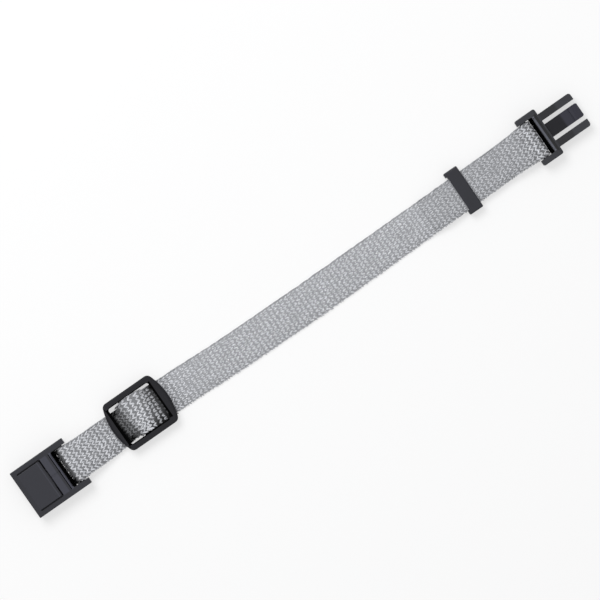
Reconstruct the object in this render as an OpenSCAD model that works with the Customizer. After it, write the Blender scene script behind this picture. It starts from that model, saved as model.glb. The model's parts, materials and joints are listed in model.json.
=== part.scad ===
// Adjustable wrist band: a flat webbing strap with a three-bar adjuster, a keeper loop, and a
// three-prong plug that snaps into a socket.
// X runs along the strap from the socket to the plug, Y across it, and +Z is the outer face.
// The origin is the centre of the part's footprint, on the surface that it lies on.
// Inside the modules, x is counted from the socket's mouth and shifted at the very end.

/* [Strap] */
// Width of the webbing
strap_w = 15; // [13:0.5:20]
// Thickness of one layer of webbing
strap_t = 1.2; // [0.9:0.1:1.5]
// Gap between layers that lie on each other
layer_gap = 0.1; // [0.05:0.05:0.2]
// From the socket's bar to the middle of the adjuster
loop_l = 34.7; // [26:0.1:60]
// From the middle of the adjuster to the plug's bar
run_l = 191.7; // [155:0.1:260]
// Free end of the webbing, from the plug's bar back under the strap
tail_l = 43.4; // [36:0.1:60]

/* [Socket] */
// Length of the socket housing
socket_l = 25; // [22:0.5:32]
// Height of the socket housing
socket_h = 6.4; // [6.2:0.1:8]
// Width of each of the housing's side walls
socket_wall = 2.4; // [1.6:0.1:4]
// Thickness of the housing's bottom wall
socket_floor = 1; // [0.8:0.1:1.4]
// Thickness of the housing's top wall
socket_roof = 1.2; // [1:0.1:1.6]
// Open space on each side of the webbing in the socket's slot
slot_play = 0.9; // [0.5:0.1:1.5]
// Length of the press pad
pad_l = 10.4; // [9:0.1:12]
// Thickness of the press pad
pad_t = 1; // [0.8:0.1:1.2]
// Open space on each side of the prongs in the socket
prong_play = 0.55; // [0.3:0.05:1]
// Width of the groove round the press pad
pad_groove = 0.6; // [0.3:0.1:0.8]
// Radius of the round bars that the webbing turns about
bar_r = 1.35; // [1:0.05:1.5]
// Free space between a bar and the webbing round it
bar_play = 0.1; // [0.05:0.05:0.15]

/* [Adjuster] */
// Length of the adjuster along its middle
slider_l = 26.6; // [24:0.2:34]
// Length of the adjuster along its side rails
slider_rail_l = 21.8; // [20:0.2:26]
// Length of the adjuster's window
window_l = 19.4; // [17:0.1:22]
// How far the window sits off the adjuster's middle, towards the socket
window_shift = 0.4; // [0:0.1:0.8]
// Open space on each side of the webbing in the window
window_play = 1; // [0.8:0.1:2]
// How far the adjuster lies to one side of the webbing's middle
slider_side = 0.85; // [-1.1:0.05:1.1]
// Width of each side rail
rail_w = 2.6; // [1.8:0.1:4]
// Height of the adjuster
slider_h = 3.85; // [3.5:0.05:5]
// Length of the middle bar, along the strap
middle_bar_l = 4; // [3:0.1:4.6]
// Thickness of the middle bar
middle_bar_t = 1.6; // [1.2:0.1:2]
// Radius of the window's corners
window_r = 1; // [0.4:0.1:1.2]
// Radius of the adjuster's outer corners
slider_corner_r = 2.2; // [1:0.1:3]

/* [Keeper] */
// Length of the keeper's sides, along the strap
keeper_l = 6.2; // [4:0.1:9]
// Length of the keeper's top and bottom bands
keeper_band_l = 5.5; // [3.5:0.1:8]
// From the plug's bar to the middle of the keeper
keeper_from_bar = 34.7; // [30:0.1:36]
// Thickness of the keeper's top and bottom
keeper_t = 0.9; // [0.7:0.1:1.2]
// Thickness of the keeper's sides
keeper_side = 1.9; // [1:0.1:3]
// Free space on each side of the webbing in the keeper
keeper_play = 0.4; // [0.3:0.1:0.8]
// How far the keeper sits askew on the strap, in degrees
keeper_tilt = -0.5; // [-3:0.5:3]

/* [Plug] */
// Length of the plug's frame, along the strap
plug_l = 9.5; // [9:0.1:14]
// Height of the plug's frame
plug_h = 6.2; // [6:0.1:8]
// Width of each side of the plug's frame
plug_side = 2.4; // [1.8:0.1:4]
// Open space on each side of the webbing in the plug's slot
plug_slot_play = 0.8; // [0.4:0.1:1.2]
// Thickness of the wall that carries the prongs
shoulder_t = 2.6; // [2.2:0.1:4]
// Length of the prongs
prong_l = 15.4; // [14:0.1:16]
// Width of each outer prong
prong_w = 3.1; // [2:0.1:3.4]
// Height of the outer prongs
prong_h = 3.8; // [3:0.1:4]
// Gap between the tongue and each outer prong
prong_gap = 1.65; // [1.6:0.05:2.4]
// Width of the springy middle tongue
tongue_w = 6.2; // [5:0.1:6.4]
// Thickness of the middle tongue
tongue_t = 1.7; // [1.2:0.1:1.8]

/* [Hidden] */

charcoal = [0.17, 0.17, 0.19];
pad_grey = [0.24, 0.24, 0.27];
band_grey = [0.66, 0.67, 0.69];
thread_grey = [0.5, 0.5, 0.52];

eps = 0.01;
// how far a cut reaches out of the solid that it's taken from
cut = 1;
// rounding of a moulding's edges
edge_r = 0.4;
// how far a bar runs into the walls that hold it
bar_root = 1;

// Heights of the webbing's middle plane: on the table, and as the second layer
low_z = strap_t / 2;
second_z = low_z + strap_t + layer_gap;

// The three prongs, measured from the strap's middle line
prong_y = tongue_w / 2 + prong_gap;
prongs_w = 2 * (prong_y + prong_w);

// Socket: everything from the mouth at x = 0
slot_w = strap_w + 2 * slot_play;
cavity_w = prongs_w + 2 * prong_play;
socket_w = max(slot_w, cavity_w) + 2 * socket_wall;
cavity_top = socket_h - socket_roof;
end_play = 0.3;
cavity_l = prong_l + end_play;
end_wall = 2.4;
socket_back = cavity_l + end_wall;
socket_bar_in = 3;
socket_bar_x = socket_l - socket_bar_in;
socket_bar_z = socket_h / 2;
turn_r = bar_r + bar_play + strap_t / 2;
turned_r = turn_r + strap_t / 2;
sill_play = 0.25;

// Press pad: hinged at x = pad_x, and narrower than its opening by the groove
pad_x = 2;
pad_gap = 0.1;
pad_side = 0.1;
pad_w = cavity_w - 2 * pad_side;

// The plug's middle plane, level with the socket's cavity, and how its tongue catches
mid_z = (socket_floor + cavity_top) / 2;
tongue_rise = 0.8;
tongue_top = mid_z + tongue_rise;
catch_h = 0.9;
catch_from_tip = 4.3;
catch_play = 0.15;
rib_t = 0.9;
rib_from_mouth = 3;
rib_y = tongue_w / 2 + 0.3;
rib_top = tongue_top + catch_play;
bridge_t = 0.4;
bridge_l = 1.2;
bridge_from_catch = 0.1;
bridge_x = prong_l - catch_from_tip - bridge_from_catch - bridge_l;

// Adjuster, round its own middle
slider_x = socket_bar_x + loop_l;
window_w = strap_w + 2 * window_play;
slider_w = window_w + 2 * rail_w;
under_play = 0.15;
slider_z = strap_t + under_play;
outer_bar_play = 0.2;
outer_bar_z = second_z + strap_t / 2 + outer_bar_play;
over_bar_z = slider_z + middle_bar_t + layer_gap + strap_t / 2;
slider_bulge = (slider_l - slider_rail_l) / 2;
slider_arc_r = (pow(slider_w / 2, 2) + pow(slider_bulge, 2)) / (2 * slider_bulge);
slider_travel = 8;
over_bar_end = slider_x + slider_l / 2 - 1.8;
slider_foot_bevel = 0.3;
slider_rail_bevel = 0.7;
slider_rim_bevel = 0.9;

// The strap over the middle bar: a flat top, and a slope down to under each outer bar
hump_z = over_bar_z + strap_t + layer_gap;
hump_half = middle_bar_l / 2 + 0.4;
hump_foot = window_l / 2 - 0.65;
hump_slope = (hump_z - second_z) / (hump_foot - hump_half);
// the sewn end lies below it, on the same slope
sewn_top_x = slider_x - middle_bar_l / 2;
sewn_end_z = second_z + 0.05;
sewn_end_x = sewn_top_x - (over_bar_z - sewn_end_z) / hump_slope;

// Plug, at the strap's far end
plug_bar_x = slider_x + run_l;
plug_bar_in = 2.6;
plug_x = plug_bar_x - plug_bar_in;
plug_bar_z = plug_h / 2;
plug_slot_w = strap_w + 2 * plug_slot_play;
plug_w = plug_slot_w + 2 * plug_side;
shoulder_x = plug_x + plug_l;
total_l = shoulder_x + prong_l;

// Keeper and the two layers that it holds together
keeper_x = plug_bar_x - keeper_from_bar;
keeper_in_w = strap_w + 2 * keeper_play;
keeper_w = keeper_in_w + 2 * keeper_side;
tail_z = keeper_t + layer_gap + strap_t / 2;
held_z = tail_z + strap_t + layer_gap;
keeper_top = held_z + strap_t / 2 + layer_gap + keeper_t;

// Where the strap bends: hinge lines along x, and the gaps left open there
// (a thicker webbing needs a wider gap, because each link turns about its middle plane)
bend_socket = socket_bar_x + 4.3;
bend_slider = slider_x - slider_l / 2 - 1.9;
loop_split = (bend_socket + bend_slider) / 2;
bend_first = slider_x + slider_l / 2 + slider_travel + 3;
tail_end = plug_bar_x - tail_l;
bend_keeper = tail_end - 2;
bend_tail = plug_bar_x - 17.4;
bend_plug = plug_bar_x - 5.4;
link_l = (bend_keeper - bend_first) / 9;
link_gap = strap_t / 4;
wide_gap = strap_t * 0.42;
layers_gap = strap_t * 0.92;
turn_gap = socket_bar_z * 0.63;

// Two layers between socket and adjuster come together here
loop_flat_x = bend_slider - 3;
loop_slope = (socket_bar_z + turn_r - second_z) / (loop_flat_x - socket_bar_x);
taper_x = bend_tail + 1;
taper_slope = (plug_bar_z + turn_r - held_z) / (plug_bar_x - taper_x);
tail_slope = (tail_z - (plug_bar_z - turn_r)) / (plug_bar_x - taper_x);

function loop_z(x) = second_z + loop_slope * max(0, loop_flat_x - x);
function taper_z(x) = held_z + taper_slope * max(0, x - taper_x);
function tail_layer_z(x) = tail_z - tail_slope * max(0, x - taper_x);
function along(a, b) = (b - a) / norm(b - a);
function left_of(v) = [-v[1], v[0]];
function arc(centre, r, from, to, steps = 14) =
  [for (i = [0:steps]) let (a = from + (to - from) * i / steps)
    centre + r * [cos(a), sin(a)]];

// Side line of a band that follows points, at distance d to the left of it
function side_line(p, d) = [
  for (i = [0:len(p) - 1])
    let (before = along(p[max(i - 1, 0)], p[max(i, 1)]),
         after = along(p[min(i, len(p) - 2)], p[min(i + 1, len(p) - 1)]),
         middle = left_of(before) + left_of(after))
    p[i] + middle * d * 2 / (middle * middle)
];
function reversed(p) = [for (i = [len(p) - 1:-1:0]) p[i]];

// A layer of webbing, from its middle line in the X-Z plane
module webbing(points) {
  color(band_grey)
    rotate([90, 0, 0])
      linear_extrude(strap_w, center = true)
        polygon(concat(side_line(points, strap_t / 2),
                       reversed(side_line(points, -strap_t / 2))));
}

// Rectangle with round corners, its lower left corner at [x, y]
module round_rect(x, y, w, h, r) {
  translate([x + r, y]) square([w - 2 * r, h]);
  translate([x, y + r]) square([w, h - 2 * r]);
  for (cx = [x + r, x + w - r], cy = [y + r, y + h - r])
    translate([cx, cy]) circle(r, $fn = 48);
}

// Block with rounded edges all round: x from 0, centred on y, z from 0
module moulded_block(l, w, h, r = edge_r, plan_r = edge_r) {
  intersection() {
    linear_extrude(h) round_rect(0, -w / 2, l, w, plan_r);
    translate([0, w / 2 + eps, 0]) rotate([90, 0, 0])
      linear_extrude(w + 2 * eps) round_rect(0, 0, l, h, r);
    rotate([90, 0, 90]) translate([0, 0, -eps])
      linear_extrude(l + 2 * eps) round_rect(-w / 2, 0, w, h, r);
  }
}

// Round bar across the strap
module cross_bar(x, z, w) {
  translate([x, w / 2, z]) rotate([90, 0, 0]) cylinder(h = w, r = bar_r, $fn = 48);
}

// What is left of a block's lower corner after it's rounded to radius r, to be cut away
module lower_corner_cut(x, r, w, side) {
  translate([x, 0, 0]) scale_side(side)
    difference() {
      translate([-r, -w / 2, -cut]) cube([r + cut, w, r + cut]);
      translate([-r, w / 2 + cut, r]) rotate([90, 0, 0])
        cylinder(h = w + 2 * cut, r = r, $fn = 96);
    }
}
module scale_side(side) {
  if (side > 0) children();
  else mirror([1, 0, 0]) children();
}

module socket_housing() {
  opening_r = 0.7;
  slot_r = 0.7;
  slot_bevel = 0.5;
  bead_l = 0.9;
  line_w = 0.35;
  witness_w = 0.9;
  line_deep = 0.2;
  lead_l = 0.8;
  lead_h = 0.45;
  color(charcoal) {
    difference() {
      moulded_block(socket_l, socket_w, socket_h);
      // cavity that takes the three prongs
      translate([-eps, -cavity_w / 2, socket_floor])
        cube([cavity_l + eps, cavity_w, cavity_top - socket_floor]);
      // opening for the press pad and its groove
      translate([0, 0, cavity_top - eps]) linear_extrude(socket_roof + cut)
        round_rect(pad_x, -pad_w / 2 - pad_groove, pad_gap + pad_l + pad_groove,
                   pad_w + 2 * pad_groove, opening_r);
      // slot for the webbing
      translate([0, 0, -cut]) linear_extrude(socket_h + 2 * cut)
        round_rect(socket_back, -slot_w / 2, socket_l, slot_w, slot_r);
      // bevel down to the slot
      translate([socket_back + eps, slot_w / 2 - slot_r, socket_h]) rotate([90, 0, 0])
        linear_extrude(slot_w - 2 * slot_r)
          polygon([[-slot_bevel, 0], [0, -slot_bevel], [0, cut], [-slot_bevel, cut]]);
      // line across, which leaves a bead along the slot
      translate([socket_back - bead_l - line_w, -slot_w / 2, socket_h - line_deep])
        cube([line_w, slot_w, cut]);
      // witness groove on the middle line
      translate([pad_x + pad_l, -witness_w / 2, socket_h - line_deep])
        cube([socket_back - pad_x - pad_l, witness_w, cut]);
      // lead-in along the mouth's upper edge
      translate([-eps, cavity_w / 2, cavity_top]) rotate([90, 0, 0])
        linear_extrude(cavity_w) polygon([[0, -eps], [lead_l, -eps], [0, lead_h]]);
      lower_corner_cut(socket_l, socket_bar_z, socket_w + cut, 1);
    }
    cross_bar(socket_bar_x, socket_bar_z, slot_w + 2 * bar_root);
    // sill that closes the slot's bottom, up to the webbing
    translate([socket_back - eps, -slot_w / 2 - eps, 0])
      cube([socket_bar_x - turned_r - sill_play - socket_back + eps, slot_w + 2 * eps,
            socket_floor]);
    // two ribs guide the tongue, and a bridge between them holds its catch
    for (s = [-1, 1])
      translate([rib_from_mouth, s > 0 ? rib_y : -rib_y - rib_t, socket_floor - eps])
        cube([cavity_l - rib_from_mouth + eps, rib_t, rib_top - socket_floor + eps]);
    translate([bridge_x, -rib_y - rib_t, rib_top - eps])
      cube([bridge_l, 2 * (rib_y + rib_t), bridge_t]);
  }
}

module release_tab() {
  pusher_x = bridge_x + bridge_l + 0.3;
  pusher_l = 1.4;
  pusher_z = tongue_top + catch_h + 0.1;
  pad_z = socket_h - pad_t;
  color(pad_grey) {
    translate([pad_x + pad_gap, 0, pad_z]) moulded_block(pad_l, pad_w, pad_t, 0.2, 0.6);
    translate([pusher_x, -tongue_w / 2, pusher_z])
      cube([pusher_l, tongue_w, pad_z - pusher_z + pad_t / 2]);
  }
}

// Plan of the adjuster: two bowed ends and two straight rails with round corners
function slider_plan() =
  let (in_r = slider_arc_r - slider_corner_r,
       in_y = slider_w / 2 - slider_corner_r,
       turn = asin(in_y / in_r),
       centre_x = slider_l / 2 - slider_arc_r,
       corner_x = centre_x + in_r * cos(turn),
       quarter = concat(arc([centre_x, 0], slider_arc_r, 0, turn, 8),
                        arc([corner_x, in_y], slider_corner_r, turn + 12, 90, 5)),
       right = concat(quarter, [for (p = reversed(quarter)) [-p[0], p[1]]]))
  concat(right, [for (p = reversed(right)) if (p[1] > eps) [p[0], -p[1]]]);

// Disc with a bevelled rim: its arc is one bowed end of the adjuster
module bowed_end(side) {
  translate([side * (slider_l / 2 - slider_arc_r), 0, 0])
    rotate_extrude($fn = 180)
      polygon([[0, 0], [slider_arc_r - slider_foot_bevel, 0],
               [slider_arc_r, slider_foot_bevel],
               [slider_arc_r, slider_h - slider_rim_bevel],
               [slider_arc_r - slider_rim_bevel, slider_h], [0, slider_h]]);
}

module slider_frame() {
  half_l = slider_l / 2 + cut;
  half_w = slider_w / 2;
  bar_bevel = 0.9;
  rail_bevel = 0.4;
  rail_edge = [[half_w - slider_foot_bevel, 0], [half_w, slider_foot_bevel],
               [half_w, slider_h - slider_rail_bevel],
               [half_w - slider_rail_bevel, slider_h]];
  color(charcoal)
  translate([slider_x, slider_side, slider_z]) {
    difference() {
      intersection() {
        linear_extrude(slider_h) polygon(slider_plan());
        bowed_end(1);
        bowed_end(-1);
        // rails with bevelled outer edges
        rotate([90, 0, 90]) translate([0, 0, -half_l]) linear_extrude(2 * half_l)
          polygon(concat(rail_edge, [for (p = reversed(rail_edge)) [-p[0], p[1]]]));
      }
      translate([0, 0, -cut]) linear_extrude(slider_h + 2 * cut)
        round_rect(-window_l / 2 - window_shift, -window_w / 2, window_l, window_w, window_r);
      // the webbing runs under both outer bars
      translate([-half_l, -window_w / 2, -cut])
        cube([2 * half_l, window_w, outer_bar_z - slider_z + cut]);
      // bevel on the inner edge of each outer bar
      translate([-window_shift, 0, 0]) for (s = [-1, 1]) scale_side(s)
        translate([window_l / 2, window_w / 2, slider_h]) rotate([90, 0, 0])
          linear_extrude(window_w)
            polygon([[-cut, cut], [-cut, -bar_bevel], [0, -bar_bevel], [bar_bevel, 0],
                     [bar_bevel, cut]]);
      // smaller bevel on the inner edge of each rail
      translate([-window_l / 2 - window_shift + window_r, 0, slider_h])
        for (s = [-1, 1]) scale_y(s)
          translate([0, window_w / 2, 0]) rotate([90, 0, 90])
            linear_extrude(window_l - 2 * window_r)
              polygon([[-cut, cut], [-cut, -rail_bevel], [0, -rail_bevel], [rail_bevel, 0],
                       [rail_bevel, cut]]);
    }
    // middle bar
    translate([-middle_bar_l / 2, -window_w / 2 - bar_root, 0])
      cube([middle_bar_l, window_w + 2 * bar_root, middle_bar_t]);
  }
}

module keeper_loop() {
  band_in = keeper_l - keeper_band_l;
  color(charcoal)
  translate([keeper_x, 0, 0]) rotate([0, 0, keeper_tilt]) translate([-keeper_l / 2, 0, 0])
    difference() {
      moulded_block(keeper_l, keeper_w, keeper_top, 0.6, 0.5);
      translate([-cut, -keeper_in_w / 2, keeper_t])
        cube([keeper_l + 2 * cut, keeper_in_w, keeper_top - 2 * keeper_t]);
      // the bands start a little further in than the sides
      translate([-cut, -keeper_in_w / 2, -cut])
        cube([cut + band_in, keeper_in_w, keeper_top + 2 * cut]);
    }
}

module plug_frame() {
  tip_r = 1.2;
  tip_bevel = 0.5;
  shoulder_bevel = 1.1;
  slot_r = 0.7;
  slot_bevel_l = 1.1;
  slot_bevel_drop = 0.9;
  sill_x = plug_bar_x + turned_r + sill_play;
  color(charcoal) {
    difference() {
      translate([plug_x, 0, 0]) moulded_block(plug_l, plug_w, plug_h, edge_r, 0.9);
      translate([0, 0, -cut]) linear_extrude(plug_h + 2 * cut)
        round_rect(plug_x - cut - slot_r, -plug_slot_w / 2, plug_l - shoulder_t + cut + slot_r,
                   plug_slot_w, slot_r);
      // bevel from the shoulder down to the slot
      translate([shoulder_x - shoulder_t - eps, plug_slot_w / 2 - slot_r, plug_h])
        rotate([90, 0, 0]) linear_extrude(plug_slot_w - 2 * slot_r)
          polygon([[0, -slot_bevel_drop], [slot_bevel_l, 0], [slot_bevel_l, cut], [0, cut]]);
      // the shoulder's front edge is bevelled, above and below
      for (v = [0, 1])
        translate([shoulder_x, -plug_w / 2 - cut, v * plug_h]) rotate([0, v * 90, 0])
          rotate([-90, 0, 0]) linear_extrude(plug_w + 2 * cut)
            polygon([[-shoulder_bevel, cut], [-shoulder_bevel, 0], [0, -shoulder_bevel],
                     [cut, -shoulder_bevel], [cut, cut]]);
      lower_corner_cut(plug_x, plug_bar_z, plug_w + cut, -1);
    }
    cross_bar(plug_bar_x, plug_bar_z, plug_slot_w + 2 * bar_root);
    // sill that closes the slot's bottom, up to the webbing
    translate([sill_x, -plug_slot_w / 2 - eps, 0])
      cube([shoulder_x - shoulder_t - sill_x + eps, plug_slot_w + 2 * eps, socket_floor]);
    for (s = [-1, 1]) scale_y(s)
      translate([shoulder_x - eps, prong_y, mid_z - prong_h / 2])
        difference() {
          cube([prong_l + eps, prong_w, prong_h]);
          // round outer corner of the tip
          translate([prong_l + eps - tip_r, prong_w - tip_r, -cut])
            difference() {
              cube([tip_r + cut, tip_r + cut, prong_h + 2 * cut]);
              cylinder(h = prong_h + 2 * cut, r = tip_r, $fn = 48);
            }
          // bevelled tip, above and below
          for (v = [0, 1])
            translate([prong_l + eps, -cut, v * prong_h]) rotate([0, 45, 0])
              translate([-tip_bevel, 0, -tip_bevel])
                cube([2 * tip_bevel, prong_w + 2 * cut, 2 * tip_bevel]);
        }
  }
}
module scale_y(side) {
  if (side > 0) children();
  else mirror([0, 1, 0]) children();
}

module latch_tongue() {
  root_x = shoulder_x + 0.1;
  lock_x = total_l - catch_from_tip;
  catch_l = 1;
  bottom = tongue_top - tongue_t;
  tip_x = total_l - 0.7;
  corner = 0.4;
  half_w = tongue_w / 2;
  color(charcoal)
  intersection() {
    translate([0, tongue_w / 2, 0]) rotate([90, 0, 0]) linear_extrude(tongue_w)
      polygon([[root_x, bottom], [tip_x, bottom], [total_l, bottom + corner / 2],
               [total_l, tongue_top - corner], [lock_x + catch_l, tongue_top + catch_h],
               [lock_x, tongue_top + catch_h], [lock_x, tongue_top],
               [root_x, tongue_top]]);
    // bevelled corners at the tip
    translate([0, 0, bottom - cut]) linear_extrude(tongue_t + catch_h + 2 * cut)
      polygon([[root_x - cut, -half_w - cut], [tip_x, -half_w - cut], [tip_x, -half_w],
               [total_l + eps, -half_w + corner], [total_l + eps, half_w - corner],
               [tip_x, half_w], [tip_x, half_w + cut], [root_x - cut, half_w + cut]]);
  }
}

// Webbing turned round the socket's bar
module strap_socket_turn() {
  c = [socket_bar_x, socket_bar_z];
  webbing(concat([[bend_socket - turn_gap / 2, low_z]],
                 arc(c, turn_r, 270, 90),
                 [[bend_socket - link_gap / 2, loop_z(bend_socket)]]));
}

// Both layers between socket and adjuster, in two lengths that can draw apart
module strap_loop_far() {
  webbing([[bend_socket + turn_gap / 2, low_z], [loop_split - link_gap / 2, low_z]]);
  webbing([for (x = [bend_socket + link_gap / 2, loop_split - link_gap / 2])
    [x, loop_z(x)]]);
}
module strap_loop_near() {
  webbing([[loop_split + link_gap / 2, low_z], [bend_slider - layers_gap / 2, low_z]]);
  webbing([for (x = [loop_split + link_gap / 2, loop_flat_x, bend_slider - link_gap / 2])
    [x, loop_z(x)]]);
}

// The sewn end: under the adjuster, round its middle bar and back down
module strap_anchor() {
  wrap_r = (over_bar_z - low_z) / 2;
  wrap_in = 0.2;
  wrap_x = slider_x + middle_bar_l / 2 - wrap_in;
  webbing(concat([[bend_slider + layers_gap / 2, low_z]],
                 arc([wrap_x, low_z + wrap_r], wrap_r, -90, 90),
                 [[sewn_top_x, over_bar_z], [sewn_end_x, sewn_end_z]]));
}

// Stitches through both layers of the sewn end
module anchor_stitches() {
  stitch_r = 0.18;
  per_row = 7;
  row_gap = 1.1;
  from_end = 0.9;
  from_edge = 1.5;
  pitch = (strap_w - 2 * from_edge) / (per_row - 1);
  from_z = strap_t / 8;
  color(thread_grey)
  for (row = [0:1], i = [0:per_row - 1])
    let (in = from_end + row * row_gap)
      translate([sewn_end_x + in, (i - (per_row - 1) / 2) * pitch, from_z])
        cylinder(h = sewn_end_z + in * hump_slope + strap_t / 2 - 2 * from_z,
                 r = stitch_r, $fn = 16);
}

// The strap under the first outer bar, over the middle bar and under the second one
module strap_over_bar() {
  webbing([[bend_slider + link_gap / 2, second_z], [slider_x - hump_foot, second_z],
           [slider_x - hump_half, hump_z], [slider_x + hump_half, hump_z],
           [slider_x + hump_foot, second_z], [over_bar_end, second_z]]);
}

// Flat lengths of the run, one link after another; the first bend is a sharper one
function bend_gap(i) = i == 1 ? wide_gap : link_gap;
module strap_run(i) {
  from = i == 1 ? over_bar_end + link_gap
                : bend_first + (i - 2) * link_l + bend_gap(i - 1) / 2;
  webbing([[from, low_z], [bend_first + (i - 1) * link_l - bend_gap(i) / 2, low_z]]);
}

// The strap climbs on to its own free end
module strap_rise() {
  from = bend_keeper - link_l + link_gap / 2;
  flat_from = 1.4;
  flat_to = 1.6;
  webbing([[from, low_z], [from + flat_from, low_z], [bend_keeper - flat_to, held_z],
           [bend_keeper - wide_gap / 2, held_z]]);
}

module strap_keeper_run() {
  webbing([[bend_keeper + wide_gap / 2, held_z], [bend_tail - link_gap / 2, held_z]]);
  webbing([[tail_end, tail_z], [bend_tail - layers_gap / 2, tail_z]]);
}

module strap_taper() {
  webbing([for (x = [bend_tail + link_gap / 2, taper_x, bend_plug - link_gap / 2])
    [x, taper_z(x)]]);
  webbing([for (x = [bend_tail + layers_gap / 2, taper_x + 0.3, bend_plug - turn_gap / 2])
    [x, tail_layer_z(x)]]);
}

// Webbing turned round the plug's bar
module strap_plug_turn() {
  c = [plug_bar_x, plug_bar_z];
  top_a = 90 + atan(taper_slope);
  webbing(concat([[bend_plug + link_gap / 2, taper_z(bend_plug)]],
                 arc(c, turn_r, top_a, -90),
                 [[bend_plug + turn_gap / 2, tail_layer_z(bend_plug)]]));
}

// The footprint's middle across the strap, with the adjuster lying to one side
widest = max(socket_w, plug_w, keeper_w) / 2;
middle_y = (max(widest, slider_w / 2 + slider_side)
            - max(widest, slider_w / 2 - slider_side)) / 2;

module placed() {
  translate([-total_l / 2, -middle_y, 0]) children();
}

placed() socket_housing();
placed() release_tab();
placed() slider_frame();
placed() keeper_loop();
placed() plug_frame();
placed() latch_tongue();
placed() strap_socket_turn();
placed() strap_loop_far();
placed() strap_loop_near();
placed() strap_anchor();
placed() anchor_stitches();
placed() strap_over_bar();
placed() strap_run(1);  // strap_run_1
placed() strap_run(2);  // strap_run_2
placed() strap_run(3);  // strap_run_3
placed() strap_run(4);  // strap_run_4
placed() strap_run(5);  // strap_run_5
placed() strap_run(6);  // strap_run_6
placed() strap_run(7);  // strap_run_7
placed() strap_run(8);  // strap_run_8
placed() strap_run(9);  // strap_run_9
placed() strap_rise();
placed() strap_keeper_run();
placed() strap_taper();
placed() strap_plug_turn();
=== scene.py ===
import json
import math
from collections import namedtuple
from functools import partial

import bmesh
import bpy
import numpy as np
from bpy.props import FloatProperty, FloatVectorProperty, IntProperty, PointerProperty
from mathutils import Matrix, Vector


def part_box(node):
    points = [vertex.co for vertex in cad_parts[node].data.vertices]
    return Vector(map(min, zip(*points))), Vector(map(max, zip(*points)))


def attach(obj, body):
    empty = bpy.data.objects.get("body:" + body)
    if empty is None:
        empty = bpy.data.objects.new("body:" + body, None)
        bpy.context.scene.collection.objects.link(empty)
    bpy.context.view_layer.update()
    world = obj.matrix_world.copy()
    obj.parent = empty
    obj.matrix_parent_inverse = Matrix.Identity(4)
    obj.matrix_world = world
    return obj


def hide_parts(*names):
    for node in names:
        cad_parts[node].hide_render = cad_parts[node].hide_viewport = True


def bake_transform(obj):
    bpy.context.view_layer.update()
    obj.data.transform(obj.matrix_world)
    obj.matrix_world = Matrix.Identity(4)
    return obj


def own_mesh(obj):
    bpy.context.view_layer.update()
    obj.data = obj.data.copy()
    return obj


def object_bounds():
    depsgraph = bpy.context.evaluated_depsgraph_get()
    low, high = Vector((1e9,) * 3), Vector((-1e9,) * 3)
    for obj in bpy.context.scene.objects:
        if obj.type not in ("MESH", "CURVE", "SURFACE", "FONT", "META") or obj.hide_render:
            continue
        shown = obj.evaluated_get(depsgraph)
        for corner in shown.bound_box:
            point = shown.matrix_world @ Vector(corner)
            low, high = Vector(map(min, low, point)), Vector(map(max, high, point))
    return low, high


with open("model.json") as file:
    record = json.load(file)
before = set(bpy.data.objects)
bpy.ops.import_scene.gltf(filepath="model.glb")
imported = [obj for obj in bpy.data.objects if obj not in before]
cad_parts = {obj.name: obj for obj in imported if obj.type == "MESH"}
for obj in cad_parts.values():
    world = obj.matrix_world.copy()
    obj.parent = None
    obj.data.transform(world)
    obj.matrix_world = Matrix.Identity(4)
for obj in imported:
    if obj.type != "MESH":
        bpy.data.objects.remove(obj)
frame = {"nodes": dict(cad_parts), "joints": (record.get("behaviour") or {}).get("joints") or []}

bl_info = {
    "name": "Adjustable Wrist Band",
    "version": (1, 0, 0),
    "blender": (4, 5, 0),
    "location": "3D Viewport > Sidebar > Wrist Band",
    "description": "Knits the webbing of a wrist band and moulds its buckle, adjuster and keeper",
    "category": "Object",
}

CAD_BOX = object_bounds()
HALF = CAD_BOX[1].x
HINGES = {j["name"]: Vector(j["pos_m"]) for j in frame["joints"] if "pos_m" in j}
MIDDLE = HINGES["bend_1"].y
MM = 0.001


def at(u):
    """X of a place that is u millimetres from the socket's mouth."""
    return u * MM - HALF


# ---------------------------------------------------------------- sizes and colours


class WebbingSettings(bpy.types.PropertyGroup):
    """Sizes and colours of the knitted webbing"""

    width: FloatProperty(name="Width", description="Width of the flat webbing",
                         default=0.015, min=0.01, max=0.03, unit="LENGTH")
    thickness: FloatProperty(name="Thickness", description="One layer, over its stitches",
                             default=0.0012, min=0.0008, max=0.002, unit="LENGTH")
    wales: IntProperty(name="Wales", description="Columns of stitches across the webbing",
                       default=9, min=5, max=15)
    course: FloatProperty(name="Course", description="From one row of stitches to the next",
                          default=0.00222, min=0.001, max=0.004, unit="LENGTH")
    leg_length: FloatProperty(name="Leg length", description="Length of a stitch's leg",
                              default=0.0024, min=0.0005, max=0.004, unit="LENGTH")
    leg_width: FloatProperty(name="Leg width", description="Width of a stitch's leg",
                             default=0.00066, min=0.0002, max=0.0015, unit="LENGTH")
    lean: FloatProperty(name="Lean", description="Angle between a leg and the webbing",
                        default=math.radians(28), min=0, max=1.2, subtype="ANGLE")
    unevenness: FloatProperty(name="Unevenness", description="How far the legs differ",
                              default=1.0, min=0, max=3)
    seed: IntProperty(name="Seed", description="Seed of the yarn's unevenness", default=7)
    light_yarn: FloatVectorProperty(name="Light yarn", description="Colour of the pale yarn",
                                    default=(0.7, 0.718, 0.762), subtype="COLOR", min=0, max=1)
    dark_yarn: FloatVectorProperty(name="Dark yarn", description="Colour of the darker yarn",
                                   default=(0.385, 0.392, 0.413), subtype="COLOR", min=0, max=1)
    core: FloatVectorProperty(name="Core", description="Colour between the stitches",
                              default=(0.27, 0.275, 0.29), subtype="COLOR", min=0, max=1)


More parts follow.
